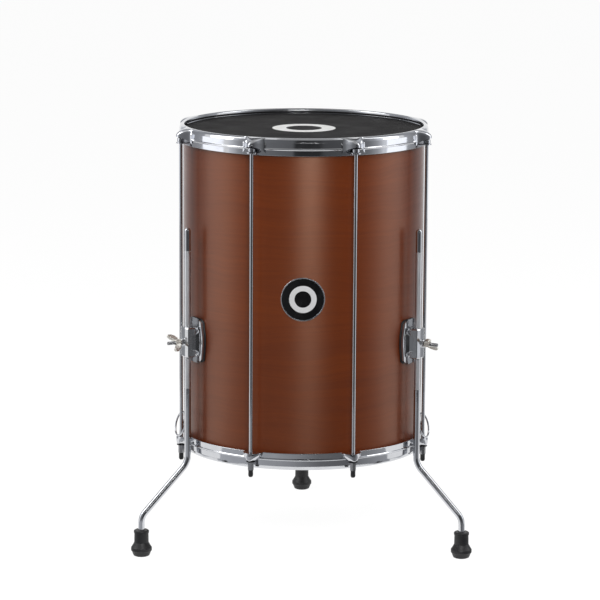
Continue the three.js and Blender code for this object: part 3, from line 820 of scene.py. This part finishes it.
def hexagon_nut(low, high, steps=48):
    """A hexagon nut round Z with cone-cut corners and an open bore"""
    corner = nut_across / sqrt(3)
    turns = [2 * pi * k / steps for k in range(steps)]
    rings = []
    for height, limit in ((low, corner - nut_chamfer), (low + nut_chamfer * 0.6, corner),
                          (high - nut_chamfer * 0.6, corner), (high, corner - nut_chamfer)):
        flats = [nut_across / 2 / cos((turn + pi / 6) % (pi / 3) - pi / 6) for turn in turns]
        rings.append([polar(min(flat, limit), turn, height) for flat, turn in zip(flats, turns)])
    rings += [[polar(nut_bore, turn, height) for turn in turns] for height in (high, low)]
    return [point for ring in rings for point in ring], ring_faces(len(rings), steps, closed=True)


washer = [(nut_bore, washer_low, 0.0003), (washer_radius, washer_low, 0.0005),
          (washer_radius, washer_top, 0.0005), (nut_bore, washer_top, 0.0003)]
nut_part = at_front(together(hexagon_nut(nut_bottom, washer_low), turned(washer, 48)), rod_circle)
dark_steel = metal("dark_steel", (0.035, 0.035, 0.038), (0.022, 0.022, 0.024), 0.36, 0.15, 0.0, 0.02)
first_nut = mesh_object("nut", nut_part, dull_steel, dark_steel, sharp=28)
for face in first_nut.data.polygons:
    face.material_index = int(face.center.z > washer_low - 0.00001)
set_round(first_nut, rods, "hexagon_nut_{}", "nut_{}", "tension_nut_{}")

# ------------
# The rod caps. A cap of moulded black rubber, closed below, is pushed over each rod's thread below the nut, so
# that the steel can't scratch a leg or a hand.
cap_radius = 0.0041
cap_bore = 0.0033
cap_top = nut_bottom - 0.0003
cap_bottom = cap_top - 0.012
cap_end = 0.0024

moulded_rubber, given, result = shader_group("moulded_rubber", {"Pebble": "Float", "Dust": "Float"}, surface)
tree = moulded_rubber
place = object_place(tree)
pebble = noise(place, given["Pebble"], 3)
bloom = spread(noise(place, 70.0, 4), 0.45, 0.75)
upward = axes(add_node(tree, "NewGeometry").outputs["Normal"])["Z"]
haze = plus(times(spread(upward, 0.2, 1), given["Dust"]), times(bloom, 0.1))
fill(result, {
    "Colour": blended(haze, (0.0085, 0.0085, 0.0095, 1), (0.10, 0.098, 0.095, 1)),
    "Roughness": spread(pebble, 0.3, 0.7, 0.42, 0.58),
    "Normal": bumped(pebble, 0.00006),
})

cap_rubber = surfaced("cap_rubber", moulded_rubber, {"Pebble": 1600.0, "Dust": 0.1})
cap_section = [
    (0, cap_bottom, 0), (cap_radius * 0.75, cap_bottom, 0.0022), (cap_radius, cap_bottom + 0.003, 0.001),
    (cap_radius * 0.97, cap_top - 0.0016, 0.0003), (cap_radius * 1.04, cap_top - 0.0012, 0.0004),
    (cap_radius * 1.04, cap_top, 0.0004), (cap_bore, cap_top, 0), (cap_bore, cap_bottom + cap_end, 0),
    (0, cap_bottom + cap_end, 0),
]
first_cap = mesh_object("cap", at_front(turned(cap_section, 32), rod_circle), cap_rubber)
set_round(first_cap, rods, "rubber_cap_{}", "drum", "rod_cap_{}")

# ------------
# The bracket gaskets. A sheet of black rubber with cut corners lies between each bracket and the shell, and
# shows as a dark border round the plate.
bracket_places = {"rear": 180, "left": -60, "right": 60}
bracket_middle = 0.359
gasket_inner = 0.2035
gasket_outer = 0.2055
gasket_margin = 0.002
gasket_edge = 0.0006
plate_half = 0.0247
plate_sides = [(0.0075, 0.037), (0.0140, 0.037), (0.0200, 0.0335), (0.0245, 0.011), (plate_half, -0.003),
               (0.0215, -0.0290), (0.0155, -0.0328), (0.0075, -0.0328)]


def plate_outline(margin, steps=6):
    """Points round the plate's shape or a margin outside it, close enough together to bend round the shell"""
    half = [Vector((wide + margin * wide / plate_half, tall + copysign(margin, tall)))
            for wide, tall in plate_sides]
    corners = [Vector((-point.x, point.y)) for point in half[::-1]] + half
    drawn = []
    for start, end in zip(corners, corners[1:] + corners[:1]):
        drawn += [start.lerp(end, k / steps) for k in range(steps)]
    return drawn[::-1]


def shell_plate(layers):
    """A plate that lies on the shell, from outlines and their distances from the axis, back to front"""
    outline, distance = layers[-1]
    for share in (0.75, 0.5, 0.25, 0.05):
        layers.append(([point * share for point in outline], distance))
    return lofted([[Vector((across, -sqrt(distance ** 2 - across ** 2), bracket_middle + up))
                    for across, up in outline] for outline, distance in layers])


gasket_part = shell_plate([
    (plate_outline(gasket_margin), gasket_inner), (plate_outline(gasket_margin), gasket_outer - gasket_edge),
    (plate_outline(gasket_margin - 0.0004), gasket_outer),
])
gasket_rubber = surfaced("gasket_rubber", moulded_rubber, {"Pebble": 900.0, "Dust": 0.05})
first_gasket = mesh_object("gasket", gasket_part, gasket_rubber)
set_round(first_gasket, bracket_places, "rubber_gasket_{}", "drum", "bracket_gasket_{}")

# ------------
# The leg brackets. Each is one zinc casting, chromed: a plate with bevelled edges and cut corners, a web, and an
# upright sleeve with a faceted front for the leg, with a boss for the clamp's stud.
plate_back = 0.2058
plate_face = 0.2103
plate_bevel = 0.003
block_width, block_tall, block_corner = 0.037, 0.060, 0.009
neck_width, neck_tall = 0.0280, 0.034
sleeve_front = 0.0084
sleeve_back = 0.0085
sleeve_wide = 0.0130
sleeve_half = 0.025
sleeve_taper, sleeve_chamfer = 0.9, 0.0016
leg_circle = 0.2225
leg_bore = 0.00565
boss_radius = 0.0066
boss_foot = leg_circle + 0.006
boss_face = 0.2361

plate = shell_plate([
    (plate_outline(0), plate_back), (plate_outline(0), plate_face - plate_bevel * 0.46),
    (plate_outline(-0.0003), plate_face - plate_bevel * 0.34), (plate_outline(-plate_bevel), plate_face),
])


def upright_section(width, tall, corner, distance):
    """An upright oblong with cut corners at a distance from the axis"""
    x, z = width / 2, tall / 2
    corners = [(x, z - corner), (x - corner, z), (corner - x, z), (-x, z - corner),
               (-x, corner - z), (corner - x, -z), (x - corner, -z), (x, corner - z)]
    return [Vector((across, -distance, bracket_middle + up)) for across, up in corners]


def pointing_out(part):
    """A part that was drawn round Z, turned to point out from the drum at the bracket's middle"""
    return moved(part, Matrix.Translation((0, 0, bracket_middle)) @ Matrix.Rotation(pi / 2, 4, "X"))


block = finished(lofted([
    upright_section(block_width, block_tall, block_corner, plate_face - 0.003),
    upright_section(neck_width + 0.0050, neck_tall + 0.010, block_corner * 0.7, plate_face + 0.0012),
    upright_section(neck_width + 0.0014, neck_tall + 0.002, block_corner * 0.5, plate_face + 0.0045),
    upright_section(neck_width - 0.0010, neck_tall, block_corner * 0.5, leg_circle),
]), bevel=0.0006, segments=2, angle=12)
low, high = bracket_middle - sleeve_half, bracket_middle + sleeve_half
facets = [(sleeve_wide / 2, sleeve_front, 0.0008), (sleeve_wide, sleeve_front - 0.0028, 0.0016),
          (sleeve_wide + 0.0014, -sleeve_back, 0.002)]
around = rounded(facets + [(-across, out, corner) for across, out, corner in facets[::-1]])
sleeve = lofted([[Vector((across * share, -leg_circle - out * share, height)) for across, out in around]
                 for share, height in ((sleeve_taper, low), (1, low + sleeve_chamfer),
                                       (1, high - sleeve_chamfer), (sleeve_taper, high))])
bore = turned([(0, low - 0.01, 0), (leg_bore, low - 0.01, 0), (leg_bore, high + 0.01, 0), (0, high + 0.01, 0)], 40)
sleeve = finished(sleeve, cut=at_front(bore, leg_circle))
boss = turned([(0, boss_foot, 0), (boss_radius + 0.0012, boss_foot, 0), (boss_radius, boss_foot + 0.0055, 0.001),
               (boss_radius, boss_face, 0.0006), (0, boss_face, 0)], 40)
cast_chrome = metal("cast_chrome", (0.62, 0.63, 0.65), (0.50, 0.505, 0.52), 0.09, 0.09, 0.25, 0.006)
first_bracket = mesh_object("bracket", together(plate, block, sleeve, pointing_out(boss)), cast_chrome, sharp=32)
set_round(first_bracket, bracket_places, "cast_bracket_{}", "drum", "leg_bracket_{}")

# ------------
# The bracket screws. Two in each bracket come from inside the shell, with pan heads against its bare wall.
# They are inside the closed drum, so their solids stay as they are, in plated steel.
for place in bracket_places:
    for level in ("upper", "lower"):
        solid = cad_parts[f"bracket_screw_{place}_{level}"]
        solid.data.materials.clear()
        solid.data.materials.append(dull_steel)

# ------------
# The eye bolts. The eye of each goes round the leg inside the sleeve and its threaded stud comes out through
# the boss. Plated steel.
eye_inner = 0.00615
eye_outer = 0.00875
eye_half = 0.003
eye_circle = 0.2231
stud_radius = 0.003
stud_start = 0.0074
stud_length = 0.028
stud_pitch = 0.001
stud_depth = 0.0004


def threaded(low, high, sides=24, rows_in_turn=6):
    """A threaded stud round Z, with its crest and root on one helix"""
    rows = round((high - low) / stud_pitch * rows_in_turn)
    rings = []
    for row in range(rows + 1):
        height = low + (high - low) * row / rows
        ring = []
        for k in range(sides):
            phase = (height / stud_pitch - k / sides) % 1
            cut = stud_depth if row == rows else stud_depth * abs(2 * phase - 1)
            ring.append(polar(stud_radius - cut, 2 * pi * k / sides, height))
        rings.append(ring)
    return lofted(rings)


eye = turned([(eye_inner, -eye_half, 0.001), (eye_outer, -eye_half, 0.0012), (eye_outer, eye_half, 0.0012),
              (eye_inner, eye_half, 0.001)], 40)
stud = threaded(eye_circle + stud_start, eye_circle + eye_outer + stud_length)
eye_part = together(at_front(eye, eye_circle, bracket_middle), pointing_out(stud))
first_eye = mesh_object("eye_bolt", eye_part, dull_steel, sharp=50)
set_round(first_eye, bracket_places, "threaded_eye_{}", "eye_{}", "eye_bolt_{}")

# ------------
# The wing nuts. Each is a nickel-plated casting with a tapered hub and two rounded wings that lean outward.
hub_foot = boss_face + 0.0003
hub_bore = 0.0033
hub_radius = 0.0056
hub_length = 0.010
wing_span = 0.038
wing_reach = 0.018
wing_thickness = 0.0052
wing_turn = 34
# How far across and how far out the corners of a wing lie, as shares of half its span and of its reach
wing_corners = [(0.06, 0.05), (0.42, 0.06), (0.78, 0.28), (0.97, 0.56), (1.0, 0.82), (0.93, 0.98), (0.78, 0.99),
                (0.6, 0.84), (0.36, 0.64), (0.06, 0.5)]

hub = turned([(hub_bore, hub_foot, 0.0003), (hub_radius, hub_foot, 0.0006), (hub_radius, hub_foot + 0.002, 0.001),
              (hub_radius * 0.82, hub_foot + hub_length, 0.0008), (hub_bore, hub_foot + hub_length, 0.0003)], 40)
wings = []
for side in (-1, 1):
    outline = rounded([(side * wide * wing_span / 2, hub_foot + far * wing_reach, 0.003)
                       for wide, far in wing_corners], 3)
    blade = lofted([[Vector((across, -depth, side * level)) for across, depth in outline]
                    for level in (wing_thickness / 2, -wing_thickness / 2)])
    wings.append(finished(blade, bevel=0.0012, segments=3, angle=50))
nut = together(moved(hub, Matrix.Rotation(pi / 2, 4, "X")), *wings)
nut = at_front(moved(nut, Matrix.Rotation(radians(wing_turn), 4, "Y")), 0, bracket_middle)
nickel = metal("nickel", (0.78, 0.76, 0.70), (0.58, 0.56, 0.51), 0.34, 0.14, 0.3, 0.02)
first_wing = mesh_object("wing_nut", nut, nickel, sharp=40)
set_round(first_wing, bracket_places, "clamp_wing_nut_{}", "wing_{}", "wing_nut_{}")

# ------------
# The legs. Each is one chromed steel rod, rounded at the top, bent outward below the drum and upright again
# above its foot. A diamond knurl on the upper part gives the clamp its grip.
leg_radius = 0.0055
leg_top = 0.552
leg_end = 0.0123
leg_sides = 28
knurl_top = 0.513
knurl_bottom = 0.279
knurl_step = 0.0012
knurl_depth = 0.00042
knee_height, knee_radius = 0.151, 0.030
ankle_height, ankle_radius = 0.067, 0.024
foot_circle = 0.3105
tip_rings = 8
down = Vector((0, 0, -1))


def bend(corner, into, out, radius, steps=14):
    """Places and directions round a bend"""
    turn = into.angle(out)
    start = corner - into * radius * tan(turn / 2)
    inward = (out - into * out.dot(into)).normalized()
    stations = []
    for k in range(steps + 1):
        angle = turn * k / steps
        place = start + into * radius * sin(angle) + inward * radius * (1 - cos(angle))
        stations.append((place, into * cos(angle) + inward * sin(angle)))
    return stations


def leg_ring(place, along, *radii):
    """One ring of the leg's surface, from radii that are taken in turn"""
    side = Vector((1, 0, 0))
    front = along.cross(side)
    ring = []
    for k in range(leg_sides):
        turn, radius = 2 * pi * k / leg_sides, radii[k % len(radii)]
        ring.append(place + side * radius * cos(turn) + front * radius * sin(turn))
    return ring


def upright_ring(height, *radii):
    """One ring of the leg's upright part"""
    return leg_ring(Vector((0, -leg_circle, height)), down, *radii)


knee = Vector((0, -leg_circle, knee_height))
ankle = Vector((0, -foot_circle, ankle_height))
splay = (ankle - knee).normalized()
rings = []
for k in range(tip_rings):
    turn = pi / 2 * (k + 0.15) / tip_rings
    rings.append(upright_ring(leg_top - leg_radius * (1 - cos(turn)), leg_radius * sin(turn)))
rings += [upright_ring(leg_top - leg_radius, leg_radius), upright_ring(knurl_top + 0.0006, leg_radius)]
knurl_first = len(rings)
knurl_rows = round((knurl_top - knurl_bottom) / knurl_step)
for row in range(knurl_rows + 1):
    radii = (leg_radius, leg_radius - knurl_depth)
    rings.append(upright_ring(knurl_top - knurl_step * row, *(radii if row % 2 else radii[::-1])))
knurl_last = len(rings)
rings.append(upright_ring(knurl_bottom - 0.0008, leg_radius))
for place, along in bend(knee, down, splay, knee_radius) + bend(ankle, splay, down, ankle_radius):
    rings.append(leg_ring(place, along, leg_radius))
rings.append(leg_ring(Vector((0, -foot_circle, leg_end)), down, leg_radius))
knurled_chrome = metal("knurled_chrome", (0.74, 0.745, 0.76), (0.56, 0.565, 0.58), 0.38, 0.14, 0.0, 0.03)
first_leg = mesh_object("leg", lofted(rings), chrome, knurled_chrome, sharp=50)
for face in first_leg.data.polygons:
    ring = min(face.vertices) // leg_sides
    if knurl_first <= ring < knurl_last - 1 and len(face.vertices) == 4:
        face.use_smooth = False
        face.material_index = 1
set_round(first_leg, bracket_places, "bent_leg_{}", "leg_assembly_{}", "leg_{}")

# ------------
# The feet. A boot of moulded black rubber is pushed over the end of each leg: a straight neck with a lip, a
# flare to its widest ring and a taper to the floor.
foot_height = 0.045
foot_radius = 0.0176
foot_neck = 0.0122
foot_socket = 0.0056
socket_floor = foot_height - 0.033

foot_section = [
    (0, 0.0, 0), (foot_radius * 0.6, 0.0, 0.001), (foot_radius * 0.76, 0.0012, 0.0015),
    (foot_radius * 0.93, 0.0085, 0.001), (foot_radius, 0.0098, 0.0012), (foot_radius, 0.0146, 0.0016),
    (foot_neck * 1.2, 0.0192, 0.003), (foot_neck, 0.0238, 0.003), (foot_neck * 0.98, 0.0395, 0.0006),
    (foot_neck * 1.05, 0.0402, 0.0006), (foot_neck * 1.05, 0.0436, 0.001), (foot_neck * 0.9, foot_height, 0.001),
    (foot_socket, foot_height, 0.0005), (foot_socket, socket_floor, 0), (0, socket_floor, 0),
]
foot_rubber = surfaced("foot_rubber", moulded_rubber, {"Pebble": 1100.0, "Dust": 0.12})
first_foot = mesh_object("foot", at_front(turned(foot_section, 64), foot_circle), foot_rubber, sharp=45)
set_round(first_foot, bracket_places, "rubber_boot_{}", "leg_assembly_{}", "foot_{}")

# ------------
# The strap rings. A ring of bright wire, closed by one weld, goes round each side rod, stands on the rim of the
# ear and leans on the rod.
strap_places = {"right": 67.5, "left": -67.5}
strap_radius = 0.0205
strap_gap = 0.0003
strap_foot = rod_circle + 0.0076 - hoop_sheet / 2
wire_radius = 0.0015
weld_at, weld_half, weld_proud = 1.0, 0.06, 0.12
loops, sides = 96, 16

points = []
for i in range(loops):
    turn = 2 * pi * i / loops
    off = atan2(sin(turn - weld_at), cos(turn - weld_at)) / weld_half
    wire = wire_radius * (1 + weld_proud * exp(-off ** 2))
    for j in range(sides):
        roll = 2 * pi * j / sides
        reach = strap_radius + wire * cos(roll)
        points.append(Vector((reach * sin(turn), wire * sin(roll), strap_radius - reach * cos(turn))))
loop = points, ring_faces(loops, sides, closed=True)
lean = asin((strap_foot - rod_circle + rod_radius + strap_gap + wire_radius) / (2 * strap_radius))
loop = at_front(moved(loop, Matrix.Rotation(-lean, 4, "X")), strap_foot, ear_top + strap_gap + wire_radius)
set_round(mesh_object("strap_ring", loop, chrome), strap_places, "wire_ring_{}", "ring_{}",
          "strap_ring_{}")
